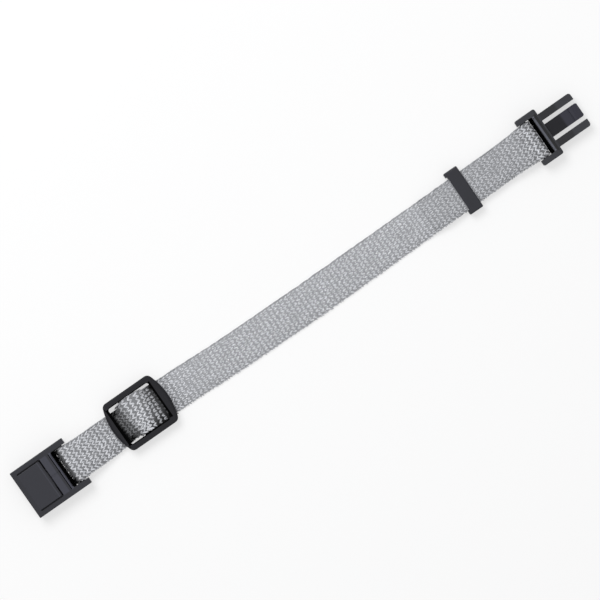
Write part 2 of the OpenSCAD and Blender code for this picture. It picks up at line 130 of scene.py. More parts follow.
class MouldingSettings(bpy.types.PropertyGroup):
    """Edges and colours of the moulded pieces"""

    edge: FloatProperty(name="Edge", description="Rounding of a moulding's sharp edges",
                        default=0.00012, min=0, max=0.001, unit="LENGTH")
    plastic: FloatVectorProperty(name="Plastic", description="Colour of the moulded plastic",
                                 default=(0.0145, 0.015, 0.0205), subtype="COLOR", min=0, max=1)
    dark: FloatVectorProperty(name="Adjuster", description="Colour of the adjuster's plastic",
                              default=(0.0065, 0.0065, 0.009), subtype="COLOR", min=0, max=1)
    pale_tone: FloatVectorProperty(name="Plug", description="Colour of the plug's plastic",
                              default=(0.023, 0.024, 0.029), subtype="COLOR", min=0, max=1)


class StageSettings(bpy.types.PropertyGroup):
    """Floor, lights and camera"""

    floor: FloatVectorProperty(name="Floor", description="Colour of the floor",
                               default=(0.9, 0.9, 0.905), subtype="COLOR", min=0, max=1)
    camera_height: FloatProperty(name="Camera height", description="Camera above the floor",
                                 default=1.2, min=0.3, max=5, unit="LENGTH")
    frame_width: FloatProperty(name="View width", description="Width that the camera sees",
                               default=0.2409, min=0.1, max=1, unit="LENGTH")
    turn: FloatProperty(name="Turn", description="How far the band rises to the right",
                        default=math.radians(34.9), subtype="ANGLE")
    sky: FloatProperty(name="Sky", description="Strength of the even light", default=0.6)
    lamp: FloatProperty(name="Lamp", description="Power of the soft lamp", default=8.0)
    veil: FloatProperty(name="Veil", description="Share of the floor that looks evenly white",
                        default=0.6, min=0, max=1)


# ---------------------------------------------------------------- nodes as expressions


class Wire:
    """A node's output that takes part in expressions: an operator adds its Math node."""

    def __init__(self, graph, socket):
        self.graph, self.socket = graph, socket

    def math(self, operation, *values):
        return self.graph.node("ShaderNodeMath", {"operation": operation},
                               dict(enumerate(values)))

    def __add__(self, other):
        return self.math("ADD", self, other)

    def __sub__(self, other):
        return self.math("SUBTRACT", self, other)

    def __rsub__(self, other):
        return self.math("SUBTRACT", other, self)

    def __mul__(self, other):
        return self.math("MULTIPLY", self, other)

    def __gt__(self, other):
        return self.math("GREATER_THAN", self, other)

    __radd__ = __add__


class Graph:
    """A node tree that is being built."""

    def __init__(self, tree):
        self.tree = tree
        tree.nodes.clear()

    def node(self, kind, settings=None, inputs=None, output=0):
        """Adds a node: its settings first, then the values or wires of its inputs."""
        made = self.tree.nodes.new(kind)
        for name, value in (settings or {}).items():
            setattr(made, name, value)
        for key, value in (inputs or {}).items():
            for one in value if isinstance(value, list) else [value]:
                if isinstance(one, Wire):
                    self.tree.links.new(one.socket, made.inputs[key])
                else:
                    made.inputs[key].default_value = one
        return Wire(self, made.outputs[output]) if made.outputs else None

    def split(self, vector):
        """The three numbers of a vector."""
        node = self.node("ShaderNodeSeparateXYZ", None, {0: vector}).socket.node
        return [Wire(self, output) for output in node.outputs]


def surface(name, draw):
    """A material whose Principled inputs are what draw returns for a graph."""
    material = bpy.data.materials.new(name)
    material.use_nodes = True
    graph = Graph(material.node_tree)
    shader = graph.node("ShaderNodeBsdfPrincipled", None, draw(graph))
    graph.node("ShaderNodeOutputMaterial", None, {"Surface": shader})
    return material


def colour(rgb, share=1.0):
    return (*[c * share for c in rgb], 1)


def blend_colours(graph, factor, a, b):
    return graph.node("ShaderNodeMix", {"data_type": "RGBA"}, {0: factor, 6: a, 7: b}, 2)


def grain(graph, scale, detail=2.0, rough=0.5, place=None):
    place = place or graph.node("ShaderNodeTexCoord", output="Object")
    return graph.node("ShaderNodeTexNoise", None,
                      {"Vector": place, "Scale": scale, "Detail": detail, "Roughness": rough})


def bump(graph, height, strength, distance):
    return graph.node("ShaderNodeBump", None,
                      {"Height": height, "Strength": strength, "Distance": distance})


def steps(graph, value, low, high):
    """0 below low, 1 above high, and a straight climb between them."""
    return graph.node("ShaderNodeMapRange", None,
                      {"Value": value, "From Min": low, "From Max": high})


def yarn_material(webbing):
    """Smooth filament yarn: pale and darker threads, with painted glints and painted shade."""

    def draw(graph):
        tone = graph.node("ShaderNodeAttribute", {"attribute_name": "tone"}, output="Fac")
        shade = graph.node("ShaderNodeAttribute", {"attribute_name": "shade"}, output="Fac")
        place = graph.node("ShaderNodeTexCoord", output="Object")
        cloud = grain(graph, 150, 2, 0.5, place)
        fibre = grain(graph, 3600, 3, 0.7, place)
        # Painted glints: spots of near-white base colour, a little smoother too
        glint = steps(graph, grain(graph, 2600, 1, 0.5, place), 0.58, 0.66)
        base = blend_colours(graph, tone * 0.5 + cloud * 0.4 + fibre * 0.9 - 0.4,
                             colour(webbing.dark_yarn), colour(webbing.light_yarn))
        pit = steps(graph, grain(graph, 2300, 1, 0.5, place), 0.43, 0.35)
        base = blend_colours(graph, pit * 0.9, base, colour(webbing.dark_yarn, 0.5))
        shine = blend_colours(graph, glint * 0.8, base, (0.9, 0.9, 0.92, 1))
        # Painted shade: the shade attribute darkens the yarn towards near-black
        bright = blend_colours(graph, shade, shine, colour(webbing.core, 0.02))
        return {"Base Color": bright, "Roughness": 0.62 - glint * 0.2 + fibre * 0.1,
                "Normal": bump(graph, fibre, 0.5, 0.00006)}

    return surface("knitted_yarn", draw)


def core_material(webbing):
    """The darker inside of the webbing, which shows between the stitches: partly its own tone and
    partly painted shade between them.
    """

    def draw(graph):
        tone = graph.node("ShaderNodeAttribute", {"attribute_name": "tone"}, output="Fac")
        shade = graph.node("ShaderNodeAttribute", {"attribute_name": "shade"}, output="Fac")
        fibre = grain(graph, 3200, 4, 0.65)
        tint = blend_colours(graph, fibre * 0.7 + tone - 0.35, colour(webbing.core, 0.6),
                             colour(webbing.dark_yarn))
        # Painted shade in slots, under bars, in a rail's shadow and where stitches are drawn
        # apart
        shaded_tint = blend_colours(graph, shade * 1.1, tint, colour(webbing.core, 0.02))
        return {"Base Color": shaded_tint, "Roughness": 0.85, "Normal": bump(graph, fibre, 0.6, 0.0001)}

    return surface("webbing_core", draw)


def dark_material(webbing):
    """Painted shade: a near-black, barely shiny finish for webbing in slots and under rims, where
    next to no light gets back out.
    """

    def draw(graph):
        fibre = grain(graph, 3200, 3, 0.6)
        tint = blend_colours(graph, fibre, colour(webbing.core, 0.005),
                             colour(webbing.core, 0.04))
        return {"Base Color": tint, "Roughness": 0.9, "Specular IOR Level": 0.02}

    return surface("webbing_in_the_dark", draw)


def thread_material():
    """Waxed sewing thread."""

    def draw(graph):
        twist = grain(graph, 4200, 2)
        tint = blend_colours(graph, twist, (0.14, 0.14, 0.15, 1), (0.3, 0.3, 0.32, 1))
        return {"Base Color": tint, "Roughness": 0.5, "Normal": bump(graph, twist, 0.4, 0.00005)}

    return surface("sewing_thread", draw)


def within(graph, places, ranges, soft):
    """1 inside a box of u, side and height, in millimetres, and 0 outside it."""
    inside = 1.0
    for place, (low, high), origin in zip(places, ranges, (at(0), MIDDLE, 0)):
        for edge, way in ((low, 1), (high, -1)):
            edge, reach = origin + edge * MM, soft * MM * way / 2
            inside = steps(graph, place, edge - reach, edge + reach) * inside
    return inside


def plastic_material(name, rgb, gloss, sheen=0.3, zones=()):
    """Moulded plastic: fine spark-eroded grain, faint flow marks and paler rims, partly wear and
    partly a painted highlight. Zones are boxes painted lighter or darker, mostly painted
    highlights and painted shade: their ranges, the share of the colour, and a soft width."""

    def draw(graph):
        place = graph.node("ShaderNodeTexCoord", output="Object")
        flow = grain(graph, 130, 3, 0.55, place)
        fine = grain(graph, 5200, 2, 0.6, place)
        rim = graph.node("ShaderNodeAttribute", {"attribute_name": "rim"}, output="Fac")
        # Paler rounded rims: partly rubbed wear, partly a painted highlight
        pale_tone = rim * (fine * 0.8 + 0.2)
        tint = blend_colours(graph, flow, colour(rgb, 0.85), colour(rgb, 1.2))
        tint = blend_colours(graph, pale_tone, tint, colour(rgb, 2.2))
        # Zones: painted highlights, painted shade, and paler or darker stretches of the colour
        for ranges, share, soft in zones:
            inside = within(graph, graph.split(place), ranges, soft)
            tint = blend_colours(graph, inside, tint, colour(rgb, share))
        return {"Base Color": tint, "Roughness": 1 - gloss + flow * 0.12 - pale_tone * 0.06,
                "Specular IOR Level": sheen, "Normal": bump(graph, fine, 0.35, 0.00004)}

    return surface(name, draw)


# Where a moulding is painted a little darker or paler: painted highlights on edges, a crest and a
# bead, painted shade in a line, and plainly paler or darker stretches. Ranges of u, side and
# height, the share of the colour there, and the width over which it fades, all in millimetres
ALL = (-20, 20)
# Socket: a paler bridge between pad and slot, and a painted highlight on the bead by the slot
SOCKET_ZONES = ((((12.4, 15.9), (-8.6, 8.6), (6, 7)), 2.4, 0.3),
                (((17.1, 18.1), (-8.6, 8.6), (5.6, 7)), 3, 0.3))
# Pad: a little paler, with a painted highlight along its far edge
PAD_ZONES = ((((0, 11.1), ALL, (0, 7)), 1.3, 0.3), (((11.2, 11.6), ALL, (0, 7)), 2.4, 0.3))
# Plug: a painted highlight on the crest by its slot, painted shade in the line behind it, and
# prongs darker towards their roots
PLUG_ZONES = ((((252.4, 253.4), (-8.1, 8.1), (4, 7)), 4.5, 0.3),
              (((253.6, 254.5), (-8.6, 8.6), (4, 7)), 0.1, 0.3),
              (((255.5, 263), ALL, (-1, 5.3)), 0.3, 1))
# Tongue: a painted highlight towards its tip, on its catch's ramp
TONGUE_ZONES = ((((262.6, 280), ALL, (-1, 9)), 4.5, 1),)
# Painted shade: boxes whose faces get a near-black, barely shiny plastic, in slots and recesses
# that no light reaches
SOCKET_SHADE_BOXES = (((18, 21), (-8.5, 8.5), (-1, 6.3)), ((16.8, 17.25), (-8.4, 8.4), (6, 6.37)))
ADJUSTER_SHADE_BOXES = (((45.5, 67.5), (-8.1, 9.8), (-1, 5.17)),)
PLUG_SHADE_BOXES = (((250, 252.69), (-8.4, 8.4), (-1, 5.4)),)


def finishes():
    """The band's materials, made once."""
    band = bpy.context.scene.wrist_band_webbing
    moulding = bpy.context.scene.wrist_band_moulding
    plastics = {
        "moulded_plastic": (moulding.plastic, 0.6),
        # Near-black plastic of painted shade
        "painted_shade_plastic": ((0.0012,) * 3, 0.25, 0.02),
        "socket_plastic": (moulding.plastic, 0.6, 0.3, SOCKET_ZONES),
        "plug_plastic": (moulding.pale_tone, 0.6, 0.3, PLUG_ZONES),
        "tongue_plastic": (moulding.dark, 0.6, 0.2, TONGUE_ZONES),
        "slider_finish": (moulding.dark, 0.6, 0.2),
        "pad_finish": (moulding.plastic, 0.62, 0.3, PAD_ZONES),
    }
    makers = {
        "knitted_yarn": partial(yarn_material, band),
        "webbing_core": partial(core_material, band),
        "webbing_in_the_dark": partial(dark_material, band),
        "sewing_thread": thread_material,
        **{name: partial(plastic_material, name, *look) for name, look in plastics.items()},
    }
    return {name: bpy.data.materials.get(name) or make() for name, make in makers.items()}


# ---------------------------------------------------------------- the webbing's route


# How the webbing lies at one length: its point, the directions of its run, side and face,
# its width, and what the tables below and the route's curvature say there
Place = namedtuple("Place", "point run side face width strain shade brick contrast bend dusk")


def smoothed(values, reach):
    """Moving average with a soft window, along lines that go on straight past their ends."""
    window = np.hanning(2 * reach + 3)[1:-1]
    before = values[0] - (values[1] - values[0]) * np.arange(reach, 0, -1)[:, None]
    after = values[-1] + (values[-1] - values[-2]) * np.arange(1, reach + 1)[:, None]
    padded = np.vstack([before, values, after])
    return np.stack([np.convolve(padded[:, i], window / window.sum(), "valid")
                     for i in range(values.shape[1])], axis=1)


def table(places, step=0.5, reach=12):
    """A smooth function of u, from (u, value) pairs, all in millimetres."""
    u = np.arange(-5, 280, step)
    raw = np.interp(u, *zip(*places))[:, None]
    fair = smoothed(raw, reach)[:, 0]
    return lambda x: np.interp((x + HALF) / MM, u, fair) * MM


# How far the webbing lies to the side of the middle line, and how wide it lies
SWAY = table([(0, 0), (24, 0), (33, -0.12), (41, 0.05), (45, 0.2), (50.5, 0.5), (53, 0.9),
              (56, 1.0), (58, 0.85), (61, 0.1), (65, 0), (69, 0.2), (74, 0.15),
              (100, -0.8), (138, -1.2), (175, -0.85), (210, -0.4), (244, 0), (280, 0)],
             reach=5)
SPREAD = table([(0, 16.9), (20.2, 16.9), (21.5, 16.4), (23, 16.1), (27, 15.6), (40, 15.4),
                (44, 14.6), (50.8, 14.2), (52.6, 17.1), (59, 17.1), (61, 16.5), (66, 16.5),
                (69, 15.5), (100, 15.3), (140, 15.5), (180, 15.2), (200, 14.9), (232, 14.8),
                (243, 15.4), (246.5, 16.2), (250, 16.1), (252, 15.7), (280, 15.7)], reach=2)
# Where the upper layer is drawn tight, so that its stitches stand apart over a core with painted
# shade, and where it gets painted shade: in the socket's and the plug's slots and by the
# adjuster's bars, with a slight even darkening along the run
STRAIN = table([(0, 0), (58, 0), (61, 0.5), (67, 0.9), (69, 0), (280, 0)], reach=2)
SHADE = table([(0, 1), (20.4, 0.98), (20.7, 0.9), (21, 0.62), (21.5, 0.25), (22.2, 0), (44, 0),
               (45.6, 1), (46.4, 1), (47, 0.88), (48.4, 0.79), (51, 0.68), (53.4, 0),
               (59.4, 0), (61, 0.2), (64.7, 0.35), (65.4, 0.9), (65.9, 1), (68, 1), (69, 0),
               (72, 0.12), (200, 0.12), (214, 0.15), (244, 0.14), (247, 0), (248.6, 0),
               (250.6, 0.45), (251.4, 0.7), (252.2, 0.95), (280, 1)], reach=1)
# Width of the edge that gets painted shadow beside the adjuster's near rail
RAIL_SHADOW = table([(0, -2), (51.6, -2), (52.4, 0.7), (60, 0.7), (62, 0.9), (66, 0.9), (68, -2),
              (280, -2)], reach=1)
# Where every other stitch lies proud, as in brickwork, with a painted highlight on it, and how
# much the yarns differ
BRICK = table([(0, 0), (68, 0), (76, 1), (190, 1), (215, 0.5), (240, 0.5), (246, 0),
               (280, 0)], reach=4)
CONTRAST = table([(0, 1.12), (45, 1.12), (54, 1.2), (68, 1.2), (76, 0.62), (190, 0.62),
                  (240, 0.7), (247, 1.3), (280, 1.3)], reach=4)


def arc(x, z, r, start, end, steps=24):
    """Corners of a turn round a bar, by its middle, its radius and two angles in degrees."""
    turn = [math.radians(start + (end - start) * i / steps) for i in range(steps + 1)]
    return [(x + r * math.cos(a), z + r * math.sin(a)) for a in turn]


class Route:
    """The middle line of a stretch of webbing, by its length from one end, and how far it
    is drawn out lengthwise."""

    STEP = 0.05 * MM

    def __init__(self, corners, draw, soften=0.6 * MM):
        self.draw = draw
        points = np.array([(at(u), z * MM) for u, z in corners])
        points = self.even(points)
        points = self.even(smoothed(points, round(soften / self.STEP)))
        self.points = points
        self.s = np.arange(len(points)) * self.STEP
        self.length = self.s[-1]
        slope = np.gradient(points, self.STEP, axis=0)
        self.slope = slope / np.linalg.norm(slope, axis=1)[:, None]
        turned = np.unwrap(np.arctan2(self.slope[:, 1], self.slope[:, 0]))
        self.bend = np.gradient(turned, self.STEP)

    def even(self, points):
        """The same line, with a point at every step of its length."""
        s = np.concatenate([[0], np.cumsum(np.linalg.norm(np.diff(points, axis=0), axis=1))])
        fine = np.arange(0, s[-1], self.STEP)
        return np.stack([np.interp(fine, s, points[:, i]) for i in (0, 1)], axis=1)

    def where(self, u, after=0.0):
        """Length at which the route passes u, at or after a given length."""
        x = self.points[:, 0] - at(u)
        passes = np.nonzero((x[:-1] * x[1:] <= 0) & (self.s[:-1] >= after))[0]
        return float(self.s[passes[0]])

    def places(self, s):
        """How the webbing lies at each of the lengths s."""
        x, z = (np.interp(s, self.s, self.points[:, i]) for i in (0, 1))
        tx, tz = (np.interp(s, self.s, self.slope[:, i]) for i in (0, 1))
        yaw = (SWAY(x + 0.5 * MM) - SWAY(x - 0.5 * MM)) / MM
        run = np.stack([tx, yaw * tx, tz], axis=1)
        run /= np.linalg.norm(run, axis=1)[:, None]
        side = np.stack([-yaw, np.ones_like(yaw), np.zeros_like(yaw)], axis=1)
        side /= np.linalg.norm(side, axis=1)[:, None]
        face = np.cross(run, side)
        point = np.stack([x, MIDDLE + SWAY(x), z], axis=1)
        # Strain and painted shade reach only the webbing above its lowest layer
        upper = np.clip((z - 1.2 * MM) / (0.4 * MM), 0, 1) / MM
        bend = np.interp(s, self.s, self.bend)
        return [Place(*one) for one in zip(
            point, run, side, face, SPREAD(x), STRAIN(x) * upper, SHADE(x) * upper,
            BRICK(x) / MM, CONTRAST(x) / MM, bend, RAIL_SHADOW(x))]


# Heights of the layers' middles, and the bars that the webbing turns round, in millimetres
LOW, SECOND, TAIL, HELD = 0.6, 1.9, 1.6, 2.9
SOCKET_BAR, PLUG_BAR = 22.0, 248.4
TURN = 2.05

# From the sewn end round the adjuster's middle bar to the socket, and back over the bar
LOOP = Route([(48.7, 2.0), (54.7, 3.75), *arc(58.5, 2.15, 1.6, 90, -90), (41.5, LOW),
              (25.2, LOW), *arc(SOCKET_BAR, 3.2, TURN, 262, 98), (38.6, SECOND),
              (47.65, SECOND), (54.3, 4.95), (59.1, 4.95), (65.75, SECOND), (69.2, SECOND)],
             draw=0.92)
# From under the adjuster to the plug, round its bar and back to the free end
RUN = Route([(68.9, LOW), (190.9, LOW), (201.4, HELD), (232, HELD),
             *arc(PLUG_BAR, 3.1, TURN, 97, -84), (232.3, TAIL), (205.1, TAIL)], draw=0.88)


# ---------------------------------------------------------------- knitting


# Shares of the webbing's thickness: a leg's height, its distance from the middle, the core
LEG_HEIGHT, LIFT, CORE_SHARE = 0.36, 0.31, 0.64
# The core's steps along the run, and how much of the width the core and the columns leave
CORE_STEP, HEM, EDGES = 0.6 * MM, 0.6 * MM, 1.1 * MM
# How much legs differ at unevenness 1: slips along and across, swing, size and tone
SLIP, DRIFT, SWING, SWELL, MOTTLE = 0.00024, 0.00013, 0.3, 0.12, 0.45
# From this painted shade on, the webbing gets the near-black material of painted shade
DARK_FROM = 0.93
# Curvature, per millimetre, from which a bend has room for short legs only
TIGHT_BEND, SHORT = 0.55, 0.9
# Numbers that set the random values of legs apart
ROW_ORDERS, RUN_ORDERS, THREAD_ORDERS = 100, 50000, 90000

Leg = namedtuple("Leg", "point run face size lean order tone contrast shade")


def knit_tree(webbing):
    """Geometry Nodes tree that lays a leg of yarn on each marked point and keeps the rest."""
    tree = bpy.data.node_groups.new("knit", "GeometryNodeTree")
    graph = Graph(tree)

    def put(name, kind, value=None):
        socket = tree.interface.new_socket(name=name, in_out="INPUT", socket_type=kind)
        if value is not None:
            socket.default_value = value

    put("Geometry", "NodeSocketGeometry")
    put("Leg length", "NodeSocketFloat", webbing.leg_length)
    put("Leg width", "NodeSocketFloat", webbing.leg_width)
    put("Leg height", "NodeSocketFloat", LEG_HEIGHT * webbing.thickness)
    put("Lean", "NodeSocketFloat", webbing.lean)
    put("Unevenness", "NodeSocketFloat", webbing.unevenness)
    put("Seed", "NodeSocketInt", webbing.seed)
    put("Yarn", "NodeSocketMaterial")
    put("Core", "NodeSocketMaterial")
    # Near-black material of painted shade
    put("Dark", "NodeSocketMaterial")
    tree.interface.new_socket(name="Geometry", in_out="OUTPUT",
                              socket_type="NodeSocketGeometry")
    given = tree.nodes.new("NodeGroupInput")
    want = {s.name: Wire(graph, s) for s in given.outputs if s.name}

    def named(name, kind="FLOAT"):
        return graph.node("GeometryNodeInputNamedAttribute", {"data_type": kind},
                          {"Name": name})

    def chance(number, low=-1.0, high=1.0):
        """A random value of each leg, the same wherever the webbing is cut into pieces."""
        return graph.node("FunctionNodeRandomValue", {"data_type": "FLOAT"},
                          {"Min": low, "Max": high, "ID": named("order", "INT"),
                           "Seed": want["Seed"] + number}, 1)

    def vector(x=0.0, y=0.0, z=0.0):
        return graph.node("ShaderNodeCombineXYZ", None, {0: x, 1: y, 2: z})

    legs, core = (graph.node("GeometryNodeSeparateGeometry", {"domain": "POINT"},
                             {"Geometry": want["Geometry"],
                              "Selection": named("strand") > 0.5}, side) for side in (0, 1))
    loose = graph.node("GeometryNodeSetPosition", None, {
        "Geometry": legs, "Offset": vector(chance(0) * want["Unevenness"] * SLIP,
                                           chance(1) * want["Unevenness"] * DRIFT)})
    along = graph.node("FunctionNodeAxesToRotation",
                       {"primary_axis": "Z", "secondary_axis": "X"},
                       {0: named("face", "FLOAT_VECTOR"), 1: named("run", "FLOAT_VECTOR")})
    swing = (want["Lean"] + chance(2) * want["Unevenness"] * SWING) * named("lean")
    leaned = graph.node("FunctionNodeRotateRotation", {"rotation_space": "LOCAL"}, {
        0: along, 1: graph.node("FunctionNodeEulerToRotation", None,
                                {0: vector(y=0.1, z=swing)})})
    size = graph.node("ShaderNodeVectorMath", {"operation": "MULTIPLY"}, {
        0: named("size", "FLOAT_VECTOR"),
        1: vector(*[want[name] * (chance(3 + i) * want["Unevenness"] * SWELL + 1)
                    for i, name in enumerate(("Leg length", "Leg width", "Leg height"))])})
    ball = graph.node("GeometryNodeMeshUVSphere", None,
                      {"Segments": 8, "Rings": 6, "Radius": 0.5})
    laid = graph.node("GeometryNodeInstanceOnPoints", None, {
        "Points": loose, "Instance": ball, "Rotation": leaned, "Scale": size})
    toned = graph.node("GeometryNodeStoreNamedAttribute",
                       {"data_type": "FLOAT", "domain": "INSTANCE"},
                       {"Geometry": laid, "Name": "tone",
                        "Value": named("tone") + chance(6) * named("contrast")
                                 * want["Unevenness"] * MOTTLE})
    both = graph.node("GeometryNodeJoinGeometry", None, {0: [toned, core]})
    real = graph.node("GeometryNodeSetShadeSmooth", None, {
        "Geometry": graph.node("GeometryNodeRealizeInstances", None, {"Geometry": both})})
    inner = graph.node("GeometryNodeSetMaterial", None,
                       {"Geometry": real, "Material": want["Core"]})
    outer = graph.node("GeometryNodeSetMaterial", None,
                       {"Geometry": inner, "Selection": named("strand") > 0.5,
                        "Material": want["Yarn"]})
    # Webbing with the deepest painted shade gets the near-black material
    shade_painted = graph.node("GeometryNodeSetMaterial", None,
                        {"Geometry": outer, "Selection": named("shade") > DARK_FROM,
                         "Material": want["Dark"]})
    end = tree.nodes.new("NodeGroupOutput")
    tree.links.new(shade_painted.socket, end.inputs[0])
    return tree


def core_section(width, thickness):
    """Outline of the webbing's core across the run: side and face offsets."""
    w, t = width / 2, thickness / 2
    return [(-w, 0), (-w + 0.3 * MM, -t), (-w / 3, -t), (w / 3, -t), (w - 0.3 * MM, -t),
            (w, 0), (w - 0.3 * MM, t), (w / 3, t), (-w / 3, t), (-w + 0.3 * MM, t)]


def dark(v, width, dusk):
    """How much painted shadow the webbing gets at v from its middle, where an edge of it lies in
    a rail's shadow.
    """
    return min(1, max(0, (dusk - v - width / 2) / (0.5 * MM) + 0.5))


def core_strip(mesh, route, start, end, webbing):
    """Adds the core between two lengths of a route to a bmesh, closed at both ends."""
    s = np.linspace(start, end, max(2, round((end - start) / CORE_STEP) + 1))
    rings, shades = [], []
    for q in route.places(s):
        ring = core_section(q.width - HEM, CORE_SHARE * webbing.thickness)
        rings.append([mesh.verts.new(q.point + q.side * v + q.face * n) for v, n in ring])
        # The core's tone, and its painted shade where it is shaded, drawn tight or in a rail's
        # shadow
        shades += [(1.35 - q.contrast, max(q.strain, q.shade, dark(v, q.width, q.dusk)))
                   for v, _ in ring]
    for before, after in zip(rings, rings[1:]):
        for i in range(len(before)):
            j = (i + 1) % len(before)
            mesh.faces.new((before[i], before[j], after[j], after[i]))
    mesh.faces.new(rings[0][::-1])
    mesh.faces.new(rings[-1])
    return shades


def legs(route, start, end, webbing):
    """The stitches' legs between two lengths of a route: V-shaped stitches on both faces, a
    straight cord along one edge and a plait along the other."""
    course = webbing.course * route.draw
    rows = np.arange(math.ceil(start / course - 0.5), math.ceil(end / course - 0.5))
    lift = webbing.thickness * LIFT
    out = []
    for row, q in zip(rows, route.places((rows + 0.5) * course)):
        order = int(row) * ROW_ORDERS + (RUN_ORDERS if route is RUN else 0)
        share = q.width / webbing.width
        gap = (q.width - EDGES) / webbing.wales
        for column in range(webbing.wales):
            v = (column + 0.5 - webbing.wales / 2) * gap
            # The outermost columns of a stretch with painted shade get more painted shade
            rim = max(0, abs(v) / q.width - 0.38) * 6 * min(1, q.shade * 1.2 + 0.1)
            for way in (1, -1):
                # Legs are longer on the outside of a bend than on its inside
                stretch = 1 - 1.3 * lift * q.bend * way
                if abs(q.bend) * MM > TIGHT_BEND:
                    stretch = min(stretch, SHORT)
                for side in (1, -1):
                    order += 1
                    proud = q.brick if (row + (side > 0)) % 2 else -q.brick
                    offset = v + side * gap * 0.25 * (1 - 0.5 * q.strain)
                    size = ((1 - 0.4 * q.strain - 0.22 * q.brick + 0.06 * proud) * stretch,
                            share * (1 + 0.1 * q.strain - 0.08 * q.brick + 0.1 * proud),
                            (1 + 0.1 * proud) * (0.45 + 0.45 * q.contrast))
                    # Proud legs get a lighter tone, a painted highlight on the raised stitches;
                    # painted shade and a rail's painted shadow darken the legs
                    out.append(Leg(
                        q.point + q.side * offset + q.face * lift * way, q.run, q.face * way,
                        size, side * way * (1 - 0.4 * q.strain - 0.45 * q.brick), order,
                        0.5 + 0.2 * proud, q.contrast,
                        min(1, q.shade + rim + dark(offset, q.width, q.dusk))))
        for way in (1, -1):
            slip = q.run * course * 0.25 * way
            order += 2
            cord, plait = (q.point + q.side * v + q.face * height * MM * way + slip
                           for v, height in ((q.width / 2 - 0.27 * MM, 0.14),
                                             (0.42 * MM - q.width / 2, 0.12)))
            # The cord's darker yarn is set as a lower limit on its shade; the plait's is partly
            # darker yarn, partly painted shade on its side away from the light, with the rail's
            # painted shadow
            out.append(Leg(cord, q.run, q.face * way, (1.3, 0.7, 1.1), 0.06, order, 0.15, 0.5,
                           max(0.35, q.shade)))
            out.append(Leg(plait, q.run, q.face * way, (0.8, 0.9, 1.1), -1.1 * way, order + 1,
                           0.3, 1, max(0.12, q.shade, dark(-q.width / 2, q.width, q.dusk))))
    return out


FIELDS = (("run", "FLOAT_VECTOR", "vector"), ("face", "FLOAT_VECTOR", "vector"),
          ("size", "FLOAT_VECTOR", "vector"), ("lean", "FLOAT", "value"),
          ("order", "INT", "value"), ("tone", "FLOAT", "value"),
          ("contrast", "FLOAT", "value"), ("shade", "FLOAT", "value"),
          ("strand", "FLOAT", "value"))


def grown(name, mesh, shades, points, settings):
    """The piece that the knit tree grows from a core and its legs' points."""
    for leg in points:
        mesh.verts.new(leg.point)
    data = bpy.data.meshes.new(name)
    mesh.to_mesh(data)
    mesh.free()
    plain = np.zeros(3), (1, 0, 0), (0, 0, 1), (1, 1, 1), 0, 0
    rows = [(*plain, tone, 0, shade, 0) for tone, shade in shades]
    rows += [(*leg, 1) for leg in points]
    for index, (label, kind, field) in enumerate(FIELDS, 1):
        layer = data.attributes.new(label, kind, "POINT")
        values = np.array([r[index] for r in rows])
        layer.data.foreach_set(field, values.astype(
            np.int32 if kind == "INT" else np.float32).ravel())
    guide = bpy.data.objects.new(name + "_guide", data)
    bpy.context.scene.collection.objects.link(guide)
    tree = bpy.data.node_groups.get("knit") or knit_tree(
        bpy.context.scene.wrist_band_webbing)
    modifier = guide.modifiers.new("knit", "NODES")
    modifier.node_group = tree
    for socket in tree.interface.items_tree:
        if socket.in_out == "INPUT" and socket.name in settings:
            modifier[socket.identifier] = settings[socket.name]
    piece = plain_copy(guide, name)
    for label, _, _ in FIELDS:
        if label not in ("tone", "shade"):
            piece.data.attributes.remove(piece.data.attributes[label])
    return piece


def knit(name, parts, nodes):
    """One piece of webbing, from stretches of routes, that stands for some CAD nodes."""
    webbing = bpy.context.scene.wrist_band_webbing
    made = finishes()
    mesh = bmesh.new()
    shades, points = [], []
    for route, start, end in parts:
        low, high = min(start, end), max(start, end)
        shades += core_strip(mesh, route, low, high, webbing)
        points += legs(route, low, high, webbing)
    bmesh.ops.recalc_face_normals(mesh, faces=mesh.faces)
    piece = grown(name, mesh, shades, points,
                  {"Yarn": made["knitted_yarn"], "Core": made["webbing_core"],
                   "Dark": made["webbing_in_the_dark"]})
    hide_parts(*nodes)
    return piece


def plain_copy(source, name):
    """Turns an object with modifiers into a plain mesh object, and removes the source."""
    graph = bpy.context.evaluated_depsgraph_get()
    data = bpy.data.meshes.new_from_object(source.evaluated_get(graph))
    data.name = name
    bpy.data.objects.remove(source)
    piece = bpy.data.objects.new(name, data)
    bpy.context.scene.collection.objects.link(piece)
    return piece


def across(piece):
    """Bakes a piece's placement into its mesh."""
    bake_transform(piece)


# ---------------------------------------------------------------- moulded pieces


# Material slots of a moulding while it is made: plain faces are 0, then faces with painted shade,
# then rounded rims
SHADE_SLOT, RIM = 1, 2
# Angles between faces: below the first they count as one, above the second their edge is
# rounded
FLAT, SHARP = math.radians(1), math.radians(28)


